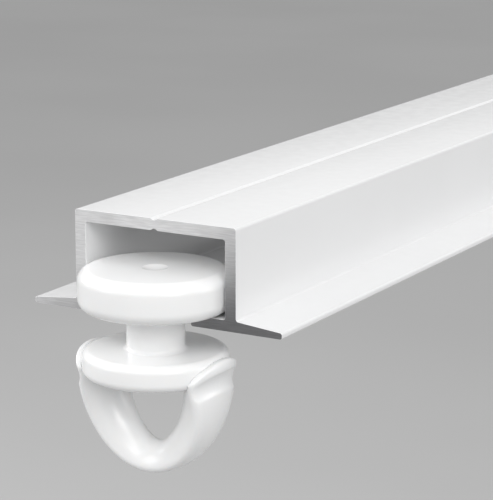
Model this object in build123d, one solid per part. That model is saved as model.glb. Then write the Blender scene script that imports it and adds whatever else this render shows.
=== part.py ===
from build123d import *
import os
from math import acos, cos, degrees, pi, sin, sqrt

# Ceiling curtain track with one glider, in millimetres.
# The track runs along +Y from its open end at y = 0. Its top face, which lies against the
# ceiling, is at z = 0, and x = 0 is the middle plane of the section.

# Track section
TRACK_LENGTH = 250.0
CHANNEL_WIDTH = 21.0
CHANNEL_HEIGHT = 11.7
SIDE_WALL = 1.4
TOP_WALL = 1.4
LIP_THICKNESS = 1.3
SLOT_WIDTH = 9.4
FLANGE_REACH = 5.75
FLANGE_ROOT_THICKNESS = 1.3
FLANGE_TIP_THICKNESS = 0.75
FLANGE_TIP_ROUND = 0.3
FLANGE_ROOT_FILLET = 0.3
OUTER_CORNER_ROUND = 0.35
INNER_CORNER_FILLET = 0.25
LIP_TIP_ROUND = 0.3
GROOVE_WIDTH = 0.9
GROOVE_DEPTH = 0.3

# Glider body: puck, neck and disc, turned about one upright axis
GLIDER_Y = 0.2
PUCK_DIAMETER = 17.4
PUCK_THICKNESS = 4.7
PUCK_EDGE_ROUND = 1.4
PUCK_RUNNING_GAP = 0.1
DIMPLE_DIAMETER = 3.0
DIMPLE_DEPTH = 0.25
NECK_DIAMETER = 6.6
NECK_LENGTH = 4.6
NECK_TOP_FILLET = 0.3
NECK_FOOT_FILLET = 0.5
DISC_DIAMETER = 16.5
DISC_THICKNESS = 2.9
DISC_EDGE_ROUND = 0.9

# Hoop: a bowl-shaped loop with two tongues that grip the rim of the disc
HOOP_CLEARANCE = 0.1
HOOP_DEPTH = 11.4
TONGUE_WALL = 0.5
TONGUE_BULGE = 0.25
TONGUE_DROP = 0.15
TONGUE_LIP = 0.3
BULGE_DROP = 1.2
ARCH_SPREAD = 0.3
ARCH_CUT = 0.12
ARCH_EDGE_ROUND = 0.15
MOULD_FLAT_DIAMETER = 0.8
WAIST_RADIUS = 2.2
WAIST_DEPTH = 0.28
WAIST_DROP = 2.55
WAIST_SAG = 0.8
ARM_THICKNESS = 4.2
FOOT_THICKNESS = 3.5
EYE_TAPER = 1.15
EYE_MIDDLE_DROP = 4.4
BAND_TOP_WIDTH = 9.2
BAND_BOTTOM_WIDTH = 5.4
BAND_FLARE = 1.65
BAND_CROWN = 3.2
BAND_EDGE_ROUND = 0.8
BAND_SECTIONS = 11
SECTION_POINTS = 12

# Levels and radii that follow from the sizes above
LIP_TOP_Z = LIP_THICKNESS - CHANNEL_HEIGHT
PUCK_BOTTOM_Z = LIP_TOP_Z + PUCK_RUNNING_GAP
PUCK_TOP_Z = PUCK_BOTTOM_Z + PUCK_THICKNESS
DISC_TOP_Z = PUCK_BOTTOM_Z - NECK_LENGTH
DISC_BOTTOM_Z = DISC_TOP_Z - DISC_THICKNESS
SOCKET_RADIUS = DISC_DIAMETER / 2 + HOOP_CLEARANCE
SOCKET_ROUND = DISC_EDGE_ROUND + HOOP_CLEARANCE
SOCKET_TOP_Z = DISC_TOP_Z + HOOP_CLEARANCE
SOCKET_BOTTOM_Z = DISC_BOTTOM_Z - HOOP_CLEARANCE
HOOP_RADIUS = SOCKET_RADIUS + TONGUE_WALL
TONGUE_TOP_Z = DISC_TOP_Z - TONGUE_DROP
EYE_DEPTH = HOOP_DEPTH - FOOT_THICKNESS


def both_sides(points):
    """Close a right-hand run of (x, z, round) points with its mirror image in x = 0."""
    left = [(-x, z, r) for x, z, r in reversed(points) if x > 0]
    return points + left


def filled_outline(points):
    """Face in the XZ plane from (x, z, round) points, each corner rounded by its own radius."""
    corners = [(x, z) for x, z, _ in points]
    rounds = [r for _, _, r in points]
    return Plane.XZ * make_face(FilletPolyline(*corners, radius=rounds, close=True))


def track_profile():
    """Box channel with lips, flanges and a V groove above and below its top wall."""
    half_width = CHANNEL_WIDTH / 2
    half_inside = half_width - SIDE_WALL
    half_slot = SLOT_WIDTH / 2
    half_groove = GROOVE_WIDTH / 2
    flange_x = half_width + FLANGE_REACH
    foot_z = -CHANNEL_HEIGHT
    section = [
        (0, -GROOVE_DEPTH, 0),
        (half_groove, 0, 0),
        (half_width, 0, OUTER_CORNER_ROUND),
        (half_width, foot_z + FLANGE_ROOT_THICKNESS, FLANGE_ROOT_FILLET),
        (flange_x, foot_z + FLANGE_TIP_THICKNESS, FLANGE_TIP_ROUND),
        (flange_x, foot_z, FLANGE_TIP_ROUND),
        (half_slot, foot_z, LIP_TIP_ROUND),
        (half_slot, LIP_TOP_Z, LIP_TIP_ROUND),
        (half_inside, LIP_TOP_Z, INNER_CORNER_FILLET),
        (half_inside, -TOP_WALL, INNER_CORNER_FILLET),
        (half_groove, -TOP_WALL, 0),
        (0, GROOVE_DEPTH - TOP_WALL, 0),
    ]
    return extrude(filled_outline(both_sides(section)), -TRACK_LENGTH)


def glider_body():
    """Puck, neck and disc as one turned form, with a shallow dimple on top of the puck."""
    puck_radius = PUCK_DIAMETER / 2
    neck_radius = NECK_DIAMETER / 2
    disc_radius = DISC_DIAMETER / 2
    half = [
        (0, PUCK_TOP_Z, 0),
        (puck_radius, PUCK_TOP_Z, PUCK_EDGE_ROUND),
        (puck_radius, PUCK_BOTTOM_Z, PUCK_EDGE_ROUND),
        (neck_radius, PUCK_BOTTOM_Z, NECK_TOP_FILLET),
        (neck_radius, DISC_TOP_Z, NECK_FOOT_FILLET),
        (disc_radius, DISC_TOP_Z, DISC_EDGE_ROUND),
        (disc_radius, DISC_BOTTOM_Z, DISC_EDGE_ROUND),
        (0, DISC_BOTTOM_Z, 0),
    ]
    turned = revolve(filled_outline(half), Axis.Z)
    ball_radius = (DIMPLE_DIAMETER**2 / 4 + DIMPLE_DEPTH**2) / (2 * DIMPLE_DEPTH)
    ball = Pos(0, 0, PUCK_TOP_Z + ball_radius - DIMPLE_DEPTH) * Sphere(ball_radius)
    return Pos(0, GLIDER_Y, 0) * (turned - ball)


def socket():
    """The disc grown by the running clearance."""
    half = [
        (0, SOCKET_TOP_Z, 0),
        (SOCKET_RADIUS, SOCKET_TOP_Z, SOCKET_ROUND),
        (SOCKET_RADIUS, SOCKET_BOTTOM_Z, SOCKET_ROUND),
        (0, SOCKET_BOTTOM_Z, 0),
    ]
    return revolve(filled_outline(half), Axis.Z)


def outside():
    """Solid of revolution with the hoop's outside: a bowl, and a rim that rolls over the disc."""
    depth = HOOP_DEPTH - HOOP_CLEARANCE
    sweep_angle = degrees(acos(MOULD_FLAT_DIAMETER / 2 / HOOP_RADIUS))
    middle = (0, SOCKET_BOTTOM_Z)
    bowl = EllipticalCenterArc(middle, HOOP_RADIUS, depth, -sweep_angle, arc_size=sweep_angle)
    above_round = TONGUE_TOP_Z - SOCKET_TOP_Z + SOCKET_ROUND
    mouth = SOCKET_RADIUS - SOCKET_ROUND + sqrt(SOCKET_ROUND**2 - above_round**2)
    bulge = (HOOP_RADIUS + TONGUE_BULGE, TONGUE_TOP_Z - BULGE_DROP)
    top = (mouth + TONGUE_LIP, TONGUE_TOP_Z + ARCH_CUT)
    rim = Spline(bowl @ 1, bulge, top, tangents=[(0, 1), (-1, 0)])
    flat = bowl @ 0
    inside = Polyline(top, (0, top[1]), (0, flat.Y), flat)
    return revolve(Plane.XZ * make_face([bowl, rim, inside]), Axis.Z)


def band():
    """Crowned band that follows the eye round, wide at its arms and narrow at the bottom."""
    eye_x = HOOP_RADIUS - ARM_THICKNESS
    middle_x = eye_x - EYE_TAPER
    above_disc = PUCK_BOTTOM_Z - DISC_BOTTOM_Z
    start = (eye_x + EYE_TAPER / EYE_MIDDLE_DROP * above_disc, PUCK_BOTTOM_Z)
    right = [start, (eye_x, DISC_BOTTOM_Z), (middle_x, DISC_BOTTOM_Z - EYE_MIDDLE_DROP)]
    left = [(-x, 0, z) for x, z in right]
    bottom = (0, 0, DISC_BOTTOM_Z - EYE_DEPTH)
    eye_line = Spline(*left, bottom, *[(x, 0, z) for x, z in reversed(right)])
    sections = []
    for i in range(BAND_SECTIONS):
        along = i / (BAND_SECTIONS - 1)
        rise = max(0, (eye_line @ along).Z - bottom[2]) / EYE_DEPTH
        width = BAND_BOTTOM_WIDTH + (BAND_TOP_WIDTH - BAND_BOTTOM_WIDTH) * rise**BAND_FLARE
        tangent = eye_line % along
        outward = Vector(0, 1, 0).cross(tangent)
        place = Plane(eye_line @ along + outward * BAND_CROWN, x_dir=outward, z_dir=tangent)
        sections.append(place * oval(BAND_CROWN, width / 2))
    return loft(sections)


def oval(x_radius, y_radius):
    """Ellipse drawn as one closed spline that starts on its +X side, so that lofts don't twist."""
    turns = [2 * pi * i / SECTION_POINTS for i in range(SECTION_POINTS)]
    points = [(x_radius * cos(turn), y_radius * sin(turn)) for turn in turns]
    return make_face(Spline(*points, periodic=True))


def blank():
    """The band trimmed to the outside, with its two long edges rounded."""
    trimmed = band() & outside()
    return fillet(trimmed.edges().filter_by(is_long_edge), BAND_EDGE_ROUND)


def is_long_edge(edge):
    """True for an edge that runs down one arm, under the eye and up the other arm."""
    return edge.length > 2 * EYE_DEPTH and abs((edge @ 0.5).Y) > HOOP_CLEARANCE


def arch_window():
    """Everything under the arch that gives both tongues their outline, seen along X."""
    half_width = BAND_TOP_WIDTH / 2 + ARCH_SPREAD
    rise = TONGUE_TOP_Z - SOCKET_BOTTOM_Z
    foot_z = SOCKET_BOTTOM_Z - 2 * HOOP_DEPTH
    arch = EllipticalCenterArc((0, SOCKET_BOTTOM_Z), half_width, rise, 0, arc_size=180)
    legs = Polyline(arch @ 1, (-half_width, foot_z), (half_width, foot_z), arch @ 0)
    return extrude(Plane.YZ * make_face([arch, legs]), CHANNEL_WIDTH, both=True)


def is_arch_edge(edge):
    """True for the outer edge of a tongue, which runs up, over its middle and down."""
    middle = edge @ 0.5
    outer = Vector(middle.X, middle.Y).length > SOCKET_RADIUS
    return outer and edge.length > 2 * DISC_THICKNESS and middle.Z > DISC_TOP_Z - DISC_EDGE_ROUND


def waists():
    """Two arched grooves, swept under the tongues so that these stand out as rolls."""
    reach = HOOP_RADIUS - WAIST_DEPTH + WAIST_RADIUS
    line = []
    for turn in (-1.5, -0.75, 0, 0.75, 1.5):
        angle = turn * pi / 6
        sag = WAIST_SAG * turn**2
        line.append((reach * cos(angle), reach * sin(angle), TONGUE_TOP_Z - WAIST_DROP - sag))
    path = Spline(*line)
    groove = sweep(Plane(path @ 0, z_dir=path % 0) * Circle(WAIST_RADIUS), path=path)
    return groove + mirror(groove, Plane.YZ)


def glider_hoop():
    """Loop and tongues as one moulding."""
    moulding = (blank() & arch_window()) - socket() - waists()
    rounded = fillet(moulding.edges().filter_by(is_arch_edge), ARCH_EDGE_ROUND)
    return Pos(0, GLIDER_Y, 0) * rounded


PARTS = {
    "track_profile": track_profile,
    "glider_body": glider_body,
    "glider_hoop": glider_hoop,
}

os.makedirs("parts", exist_ok=True)
for name, make in PARTS.items():
    export_step(make(), f"parts/{name}.step")
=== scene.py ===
from math import atan2, cos, pi, radians, sin, tan

import bmesh
import bpy
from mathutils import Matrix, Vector


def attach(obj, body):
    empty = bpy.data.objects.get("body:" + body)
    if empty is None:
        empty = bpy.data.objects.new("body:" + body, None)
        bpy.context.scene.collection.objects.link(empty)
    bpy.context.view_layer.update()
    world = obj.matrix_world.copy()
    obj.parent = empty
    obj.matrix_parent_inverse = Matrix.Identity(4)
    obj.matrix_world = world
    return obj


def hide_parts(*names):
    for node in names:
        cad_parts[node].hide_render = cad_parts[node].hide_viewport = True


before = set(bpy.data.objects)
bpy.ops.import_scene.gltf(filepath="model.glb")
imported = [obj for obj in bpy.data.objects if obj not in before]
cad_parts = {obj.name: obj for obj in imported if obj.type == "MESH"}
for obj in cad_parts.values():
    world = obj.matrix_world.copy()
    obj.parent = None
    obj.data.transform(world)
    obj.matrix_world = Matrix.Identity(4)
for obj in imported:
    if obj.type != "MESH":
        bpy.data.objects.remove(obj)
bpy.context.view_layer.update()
scene = bpy.context.scene
MM = 0.001

# Sizes of the track in millimetres, as in the CAD source
TRACK_LENGTH = 250.0
CHANNEL_WIDTH = 21.0
CHANNEL_HEIGHT = 11.7
SIDE_WALL = 1.4
TOP_WALL = 1.4
LIP_THICKNESS = 1.3
SLOT_WIDTH = 9.4
FLANGE_REACH = 5.75
FLANGE_ROOT_THICKNESS = 1.3
FLANGE_TIP_THICKNESS = 0.75
GROOVE_WIDTH = 0.9
GROOVE_DEPTH = 0.3
OUTER_CORNER_ROUND = 0.35
EDGE_ROUND = 0.3
INNER_CORNER_ROUND = 0.25

# Softness of the track's cut edges and of its groove, in millimetres
END_BURR = 0.035
GROOVE_SOFTNESS = 0.42

# Sizes of the glider in millimetres, as in the CAD source
GLIDER_Y = 0.2
PUCK_DIAMETER = 17.4
PUCK_THICKNESS = 4.7
PUCK_EDGE_ROUND = 1.4
PUCK_BOTTOM_Z = -10.3
DIMPLE_DIAMETER = 3.0
DIMPLE_DEPTH = 0.25
NECK_DIAMETER = 6.6
NECK_LENGTH = 4.6
NECK_TOP_FILLET = 0.3
NECK_FOOT_FILLET = 0.5

# Sizes of its lower disc, under 0.1 mm larger all round than in the CAD source, so that the
# running gap between the disc and the hoop doesn't show
DISC_DIAMETER = 16.66
DISC_THICKNESS = 3.04
DISC_EDGE_ROUND = 0.96
DISC_SWELL = 0.07

# Fineness of the meshes
TURN_STEPS = 160
ARC_STEPS = 10
DIMPLE_STEPS = 8
HOOP_VOXEL = 0.12
HOOP_SMOOTHING = 8
HOOP_SMOOTHING_FACTOR = 0.5
SMOOTH_ANGLE = radians(15)
ON_AXIS = 1e-6

# Looks of the coat and of the nylon. No range of roughness crosses 0.27, where a faint line
# would show.
COAT_TINTS = ((0.850, 0.852, 0.856), (0.870, 0.872, 0.876))
COAT_ROUGHNESS = (0.13, 0.20)
NYLON_TINTS = ((0.870, 0.872, 0.873), (0.910, 0.912, 0.912))
NYLON_ROUGHNESS = (0.17, 0.26)
NYLON_SCATTER = (1.0, 0.9, 0.8)

# Looks of the bare metal of the cut ends, and the painted shade that runs over the section from
# pale at its upper left to dark at its lower right
METAL_ROUGHNESS = (0.50, 0.62)
STROKE_SHADES = (0.86, 1.0)
CUT_SHADE_TURN = radians(-67)
CUT_SHADE_SPAN = 15 * MM
CUT_PAINTED_LIGHT = (0.88, 0.88, 0.885)
CUT_PAINTED_SHADE = (0.23, 0.23, 0.235)

# Greys of the floor as the camera sees it, and in the light that it throws back
FLOOR_TINTS = ((0.49, 0.49, 0.49), (0.51, 0.51, 0.51))
FLOOR_BOUNCE = (0.36, 0.36, 0.36, 1)

# Sockets of the node that mixes colours
MIX_FACTOR = 0
MIX_FIRST = 6
MIX_SECOND = 7
MIX_RESULT = 2


# Meshes

def rounded(points, steps=ARC_STEPS):
    """Polygon from (x, z, radius) corners, each corner drawn as an arc of its radius."""
    outline = []
    count = len(points)
    for i, (x, z, radius) in enumerate(points):
        corner = Vector((x, z))
        if radius == 0:
            outline.append(corner)
            continue
        before = (Vector(points[i - 1][:2]) - corner).normalized()
        after = (Vector(points[(i + 1) % count][:2]) - corner).normalized()
        half = before.angle(after) / 2
        reach = radius / tan(half)
        centre = corner + (before + after).normalized() * radius / sin(half)
        first = corner + before * reach - centre
        last = corner + after * reach - centre
        start = atan2(first.y, first.x)
        turn = (atan2(last.y, last.x) - start + pi) % (2 * pi) - pi
        for k in range(steps + 1):
            angle = start + turn * k / steps
            outline.append(centre + radius * Vector((cos(angle), sin(angle))))
    return outline


def inset(outline, amount):
    """Outline moved inward by amount; the outline runs clockwise seen from its front."""
    moved = []
    count = len(outline)
    for i, point in enumerate(outline):
        along = (outline[(i + 1) % count] - outline[i - 1]).normalized()
        moved.append(point + amount * Vector((along.y, -along.x)))
    return moved


def link(name, mesh):
    """New object in the scene that shows mesh."""
    piece = bpy.data.objects.new(name, mesh)
    scene.collection.objects.link(piece)
    return piece


def finish_mesh(bm, name):
    """Mesh from bm, smooth but for its sharper edges."""
    bmesh.ops.recalc_face_normals(bm, faces=bm.faces)
    for face in bm.faces:
        face.smooth = True
    mesh = bpy.data.meshes.new(name)
    bm.to_mesh(mesh)
    bm.free()
    mesh.set_sharp_from_angle(angle=SMOOTH_ANGLE)
    return mesh


def track_mesh():
    """The extrusion, with its two cut ends in the second material slot."""
    half_width = CHANNEL_WIDTH / 2
    half_inside = half_width - SIDE_WALL
    half_slot = SLOT_WIDTH / 2
    half_groove = GROOVE_WIDTH / 2
    flange_x = half_width + FLANGE_REACH
    foot = -CHANNEL_HEIGHT
    lip_top = foot + LIP_THICKNESS
    right = [
        (0, -GROOVE_DEPTH, GROOVE_SOFTNESS),
        (half_groove, 0, GROOVE_SOFTNESS),
        (half_width, 0, OUTER_CORNER_ROUND),
        (half_width, foot + FLANGE_ROOT_THICKNESS, EDGE_ROUND),
        (flange_x, foot + FLANGE_TIP_THICKNESS, EDGE_ROUND),
        (flange_x, foot, EDGE_ROUND),
        (half_slot, foot, EDGE_ROUND),
        (half_slot, lip_top, EDGE_ROUND),
        (half_inside, lip_top, INNER_CORNER_ROUND),
        (half_inside, -TOP_WALL, INNER_CORNER_ROUND),
        (half_groove, -TOP_WALL, GROOVE_SOFTNESS),
        (0, GROOVE_DEPTH - TOP_WALL, GROOVE_SOFTNESS),
    ]
    left = [(-x, z, r) for x, z, r in reversed(right) if x > 0]
    outline = rounded(right + left)
    bm = bmesh.new()
    rings = []
    for y, amount in (
        (0, END_BURR),
        (END_BURR, 0),
        (TRACK_LENGTH - END_BURR, 0),
        (TRACK_LENGTH, END_BURR),
    ):
        ring = [bm.verts.new((p.x * MM, y * MM, p.y * MM)) for p in inset(outline, amount)]
        rings.append(ring)
    count = len(outline)
    for near, far in zip(rings, rings[1:]):
        for i in range(count):
            k = (i + 1) % count
            bm.faces.new((near[i], near[k], far[k], far[i]))
    for ring in (rings[0], rings[-1]):
        edges = [bm.edges.get((ring[i], ring[(i + 1) % count])) for i in range(count)]
        filled = bmesh.ops.triangle_fill(bm, edges=edges, use_beauty=True)
        for face in filled["geom"]:
            if isinstance(face, bmesh.types.BMFace):
                face.material_index = 1
    return finish_mesh(bm, "track")


def turned_mesh(profile, name):
    """Profile of (radius, z) points in millimetres turned about the glider's upright axis."""
    bm = bmesh.new()
    rings = []
    for radius, z in profile:
        if radius < ON_AXIS:
            rings.append([bm.verts.new((0, GLIDER_Y * MM, z * MM))])
            continue
        ring = []
        for k in range(TURN_STEPS):
            angle = 2 * pi * k / TURN_STEPS
            x = radius * cos(angle)
            y = GLIDER_Y + radius * sin(angle)
            ring.append(bm.verts.new((x * MM, y * MM, z * MM)))
        rings.append(ring)
    for upper, lower in zip(rings, rings[1:]):
        for k in range(TURN_STEPS):
            n = (k + 1) % TURN_STEPS
            if len(upper) == 1:
                bm.faces.new((upper[0], lower[k], lower[n]))
            elif len(lower) == 1:
                bm.faces.new((upper[k], upper[n], lower[0]))
            else:
                bm.faces.new((upper[k], upper[n], lower[n], lower[k]))
    return finish_mesh(bm, name)


def glider_profile():
    """Outline of the puck, the neck and the disc from the dimple down, as (radius, z) points."""
    puck_top = PUCK_BOTTOM_Z + PUCK_THICKNESS
    disc_top = PUCK_BOTTOM_Z - NECK_LENGTH + DISC_SWELL
    disc_bottom = disc_top - DISC_THICKNESS
    dimple = DIMPLE_DIAMETER / 2
    ball = (dimple**2 + DIMPLE_DEPTH**2) / (2 * DIMPLE_DEPTH)
    profile = []
    for k in range(DIMPLE_STEPS + 1):
        radius = dimple * k / DIMPLE_STEPS
        profile.append((radius, puck_top + ball - DIMPLE_DEPTH - (ball**2 - radius**2) ** 0.5))
    corners = [
        (0, puck_top, 0),
        (PUCK_DIAMETER / 2, puck_top, PUCK_EDGE_ROUND),
        (PUCK_DIAMETER / 2, PUCK_BOTTOM_Z, PUCK_EDGE_ROUND),
        (NECK_DIAMETER / 2, PUCK_BOTTOM_Z, NECK_TOP_FILLET),
        (NECK_DIAMETER / 2, disc_top, NECK_FOOT_FILLET),
        (DISC_DIAMETER / 2, disc_top, DISC_EDGE_ROUND),
        (DISC_DIAMETER / 2, disc_bottom, DISC_EDGE_ROUND),
        (0, disc_bottom, 0),
    ]
    profile += [(p.x, p.y) for p in rounded(corners)][1:]
    return profile


def moulded_copy(node, name):
    """Copy of a CAD node's mesh with its facets and hard edges softened as on a moulding."""
    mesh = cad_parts[node].data.copy()
    mesh.materials.clear()
    piece = link(name, mesh)
    for vertex in mesh.vertices:
        vertex.co /= MM
    remesh = piece.modifiers.new("Remesh", "REMESH")
    remesh.mode = "VOXEL"
    remesh.voxel_size = HOOP_VOXEL
    relax = piece.modifiers.new("Relax", "SMOOTH")
    relax.factor = HOOP_SMOOTHING_FACTOR
    relax.iterations = HOOP_SMOOTHING
    graph = bpy.context.evaluated_depsgraph_get()
    result = bpy.data.meshes.new_from_object(piece.evaluated_get(graph))
    piece.modifiers.clear()
    piece.data = result
    for vertex in result.vertices:
        vertex.co *= MM
    for face in result.polygons:
        face.use_smooth = True
    return piece


# Materials

def material(name, **sockets):
    """New material and its node tree; sockets name the shader's constant values."""
    made = bpy.data.materials.new(name)
    made.use_nodes = True
    shader = made.node_tree.nodes["Principled BSDF"]
    for key, value in sockets.items():
        shader.inputs[key.replace("_", " ")].default_value = value
    return made, made.node_tree, shader


def place(tree, scale):
    """Object coordinates stretched by scale."""
    coords = tree.nodes.new("ShaderNodeTexCoord")
    mapping = tree.nodes.new("ShaderNodeMapping")
    mapping.inputs["Scale"].default_value = scale
    tree.links.new(coords.outputs["Object"], mapping.inputs["Vector"])
    return mapping.outputs["Vector"]


def noise(tree, scale, detail, stretch=(1, 1, 1)):
    """Values of a cloud pattern on the object, with coordinates stretched by stretch."""
    node = tree.nodes.new("ShaderNodeTexNoise")
    node.inputs["Scale"].default_value = scale
    node.inputs["Detail"].default_value = detail
    tree.links.new(place(tree, stretch), node.inputs["Vector"])
    return node.outputs["Fac"]


def ramp(tree, value, low, high, start=0.25, end=0.75):
    """Colours or greys from low to high as value goes from start to end."""
    node = tree.nodes.new("ShaderNodeValToRGB")
    node.color_ramp.interpolation = "EASE"
    ends = node.color_ramp.elements
    for point, where, colour in ((ends[0], start, low), (ends[1], end, high)):
        point.position = where
        point.color = (*colour, 1) if isinstance(colour, tuple) else (colour, colour, colour, 1)
    tree.links.new(value, node.inputs["Fac"])
    return node.outputs["Color"]


def bump(tree, shader, layers):
    """Chain of bumps from (height, strength, depth in metres) layers."""
    normal = None
    for height, strength, depth in layers:
        node = tree.nodes.new("ShaderNodeBump")
        node.inputs["Strength"].default_value = strength
        node.inputs["Distance"].default_value = depth
        tree.links.new(height, node.inputs["Height"])
        if normal is not None:
            tree.links.new(normal, node.inputs["Normal"])
        normal = node.outputs["Normal"]
    tree.links.new(normal, shader.inputs["Normal"])


def multiplied(tree, first, second):
    """Product of two colours."""
    node = tree.nodes.new("ShaderNodeMix")
    node.data_type = "RGBA"
    node.blend_type = "MULTIPLY"
    node.inputs[MIX_FACTOR].default_value = 1.0
    tree.links.new(first, node.inputs[MIX_FIRST])
    tree.links.new(second, node.inputs[MIX_SECOND])
    return node.outputs[MIX_RESULT]


def powder_coat():
    """White coat with a faint orange peel over the lines that the die left."""
    made, tree, shader = material("white_powder_coat", IOR=1.5)
    cloud = noise(tree, scale=45, detail=2)
    peel = noise(tree, scale=620, detail=2)
    die_lines = noise(tree, scale=1, detail=2, stretch=(2600, 4, 2600))
    tree.links.new(ramp(tree, cloud, *COAT_TINTS), shader.inputs["Base Color"])
    tree.links.new(ramp(tree, peel, *COAT_ROUGHNESS), shader.inputs["Roughness"])
    bump(tree, shader, [(peel, 0.10, 0.00003), (die_lines, 0.05, 0.00001)])
    return made


def cut_painted_shade(tree):
    """Painted shade of a cut end, from pale at its upper left to dark at the foot on its right.
    """
    coords = tree.nodes.new("ShaderNodeTexCoord")
    turned = tree.nodes.new("ShaderNodeMapping")
    turned.inputs["Rotation"].default_value = (0, CUT_SHADE_TURN, 0)
    turned.inputs["Scale"].default_value = (1 / CUT_SHADE_SPAN,) * 3
    split = tree.nodes.new("ShaderNodeSeparateXYZ")
    tree.links.new(coords.outputs["Object"], turned.inputs["Vector"])
    tree.links.new(turned.outputs["Vector"], split.inputs["Vector"])
    return ramp(tree, split.outputs["X"], CUT_PAINTED_LIGHT, CUT_PAINTED_SHADE, start=0.0, end=1.0)


def sawn_metal():
    """Bare cut ends with fine saw strokes, over a painted shade that runs from pale at the upper
    left to dark at the lower right.
    """
    made, tree, shader = material("sawn_aluminium", Metallic=1.0, IOR=1.45)
    strokes = noise(tree, scale=1, detail=4, stretch=(420, 420, 6500))
    patches = noise(tree, scale=260, detail=3)
    shade = ramp(tree, strokes, *STROKE_SHADES, start=0.3, end=0.7)
    # Base colour: the painted shade across the cut end, times the saw strokes
    tree.links.new(multiplied(tree, cut_painted_shade(tree), shade), shader.inputs["Base Color"])
    tree.links.new(ramp(tree, patches, *METAL_ROUGHNESS), shader.inputs["Roughness"])
    bump(tree, shader, [(strokes, 0.20, 0.00001)])
    return made


def nylon(name, flow_scale):
    """Glossy white moulding that lets a little light in; flow_scale sets its cloudiness."""
    made, tree, shader = material(name, IOR=1.53, Subsurface_Weight=0.15, Subsurface_Scale=0.001)
    shader.inputs["Subsurface Radius"].default_value = NYLON_SCATTER
    flow = noise(tree, flow_scale, detail=1, stretch=(1, 1, 0.5))
    texture = noise(tree, scale=2400, detail=2)
    tint = ramp(tree, flow, *NYLON_TINTS, start=0.0, end=1.0)
    gloss = ramp(tree, flow, *NYLON_ROUGHNESS, start=0.0, end=1.0)
    tree.links.new(tint, shader.inputs["Base Color"])
    tree.links.new(gloss, shader.inputs["Roughness"])
    bump(tree, shader, [(flow, 0.04, 0.0001), (texture, 0.03, 0.00001)])
    return made


def floor_paint():
    """Pale paint, greyer in the light that it throws back, and clear when seen from below."""
    made, tree, shader = material("studio_floor", Roughness=0.9)
    shader.inputs["Specular IOR Level"].default_value = 0.1
    path = tree.nodes.new("ShaderNodeLightPath")
    seen = path.outputs["Is Camera Ray"]
    for kind in ("Is Glossy Ray", "Is Transmission Ray"):
        either = tree.nodes.new("ShaderNodeMath")
        either.operation = "MAXIMUM"
        tree.links.new(seen, either.inputs[0])
        tree.links.new(path.outputs[kind], either.inputs[1])
        seen = either.outputs[0]
    pale = ramp(tree, noise(tree, scale=3, detail=2), *FLOOR_TINTS)
    mix = tree.nodes.new("ShaderNodeMix")
    mix.data_type = "RGBA"
    mix.inputs[MIX_FIRST].default_value = FLOOR_BOUNCE
    tree.links.new(seen, mix.inputs[MIX_FACTOR])
    tree.links.new(pale, mix.inputs[MIX_SECOND])
    tree.links.new(mix.outputs[MIX_RESULT], shader.inputs["Base Color"])
    side = tree.nodes.new("ShaderNodeNewGeometry")
    clear = tree.nodes.new("ShaderNodeBsdfTransparent")
    open_below = tree.nodes.new("ShaderNodeMixShader")
    top_side, underside = open_below.inputs[1:]
    tree.links.new(side.outputs["Backfacing"], open_below.inputs["Fac"])
    tree.links.new(shader.outputs["BSDF"], top_side)
    tree.links.new(clear.outputs["BSDF"], underside)
    tree.links.new(open_below.outputs["Shader"], tree.nodes["Material Output"].inputs["Surface"])
    return made


# Pieces

coat = powder_coat()
metal = sawn_metal()

track = link("track_extrusion", track_mesh())
track.data.materials.append(coat)
track.data.materials.append(metal)
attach(track, "track")
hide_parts("track_profile")

glider = link("glider_puck_and_disc", turned_mesh(glider_profile(), "glider"))
glider.data.materials.append(nylon("glider_nylon", flow_scale=70))
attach(glider, "glider")
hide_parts("glider_body")

hoop = moulded_copy("glider_hoop", "hook_hoop")
hoop.data.materials.append(nylon("hoop_nylon", flow_scale=87))
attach(hoop, "hoop")
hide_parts("glider_hoop")


# Stage, in metres

FLOOR_Z = -0.4
FLOOR_REACH = 12.0
DOME_STRENGTH = 0.68
HORIZON_SHARE = 0.35
DOME_FOOT = radians(9.5)
DOME_RISE = radians(11.8)
LIT_POINT = Vector((0, 0.05, -0.01))
SOFT_BOX_SIZE = 0.65
SOFT_BOX_DISTANCE = 1.5
CAMERA_LENS = 154.9
CAMERA_NEAR = 0.01
CAMERA_PLACE = (0.12443, -0.19584, 0.05094)
CAMERA_DROP = 13.24
CAMERA_TURN = 29.9

# Azimuth, elevation and power of each lamp. Azimuth 0 stands in front of the open end, and 90
# to its right.
SOFT_BOXES = {
    "left_side": (-90, 22, 9.9),
    "left_front": (-42, 18, 2.6),
    "front": (0, 32, 3.6),
    "front_top": (32, 45, 4.4),
    "right_front": (58, 20, 5.3),
    "right_side": (110, 12, 3.2),
}

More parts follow.
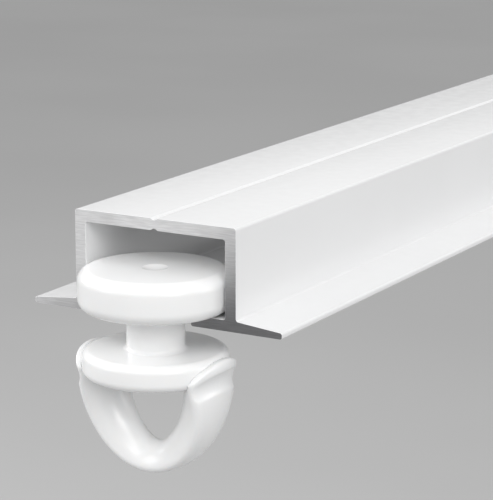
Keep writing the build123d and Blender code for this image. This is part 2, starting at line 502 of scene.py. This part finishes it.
corners = [
    (x * FLOOR_REACH, y * FLOOR_REACH, FLOOR_Z) for x, y in ((-1, -1), (1, -1), (1, 1), (-1, 1))
]
floor_mesh = bpy.data.meshes.new("floor")
floor_mesh.from_pydata(corners, [], [(0, 1, 2, 3)])
floor = link("floor", floor_mesh)
floor.data.materials.append(floor_paint())


def studio_dome():
    """Soft white dome that dims between the elevations DOME_RISE and DOME_FOOT."""
    world = bpy.data.worlds.new("studio")
    world.use_nodes = True
    tree = world.node_tree
    coords = tree.nodes.new("ShaderNodeTexCoord")
    split = tree.nodes.new("ShaderNodeSeparateXYZ")
    climb = tree.nodes.new("ShaderNodeMapRange")
    climb.interpolation_type = "SMOOTHSTEP"
    climb.inputs["From Min"].default_value = sin(DOME_FOOT)
    climb.inputs["From Max"].default_value = sin(DOME_RISE)
    climb.inputs["To Min"].default_value = HORIZON_SHARE
    background = tree.nodes["Background"]
    background.inputs["Strength"].default_value = DOME_STRENGTH
    tree.links.new(coords.outputs["Generated"], split.inputs["Vector"])
    tree.links.new(split.outputs["Z"], climb.inputs["Value"])
    tree.links.new(climb.outputs["Result"], background.inputs["Color"])
    return world


def soft_box(name, azimuth, elevation, power):
    """Square lamp aimed at the track."""
    lamp = bpy.data.lights.new(name, "AREA")
    lamp.shape = "SQUARE"
    lamp.size = SOFT_BOX_SIZE
    lamp.energy = power
    holder = bpy.data.objects.new(name, lamp)
    scene.collection.objects.link(holder)
    round_by, up_by = radians(azimuth), radians(elevation)
    outward = Vector((sin(round_by) * cos(up_by), -cos(round_by) * cos(up_by), sin(up_by)))
    holder.location = LIT_POINT + SOFT_BOX_DISTANCE * outward
    holder.rotation_euler = (-outward).to_track_quat("-Z", "Y").to_euler()


scene.world = studio_dome()
for name, (azimuth, elevation, power) in SOFT_BOXES.items():
    soft_box(name, azimuth, elevation, power)

camera_data = bpy.data.cameras.new("camera")
camera_data.lens = CAMERA_LENS
camera_data.clip_start = CAMERA_NEAR
camera = bpy.data.objects.new("camera", camera_data)
scene.collection.objects.link(camera)
camera.location = CAMERA_PLACE
camera.rotation_euler = (radians(90 - CAMERA_DROP), 0, radians(CAMERA_TURN))
scene.camera = camera

scene.view_settings.view_transform = "Standard"
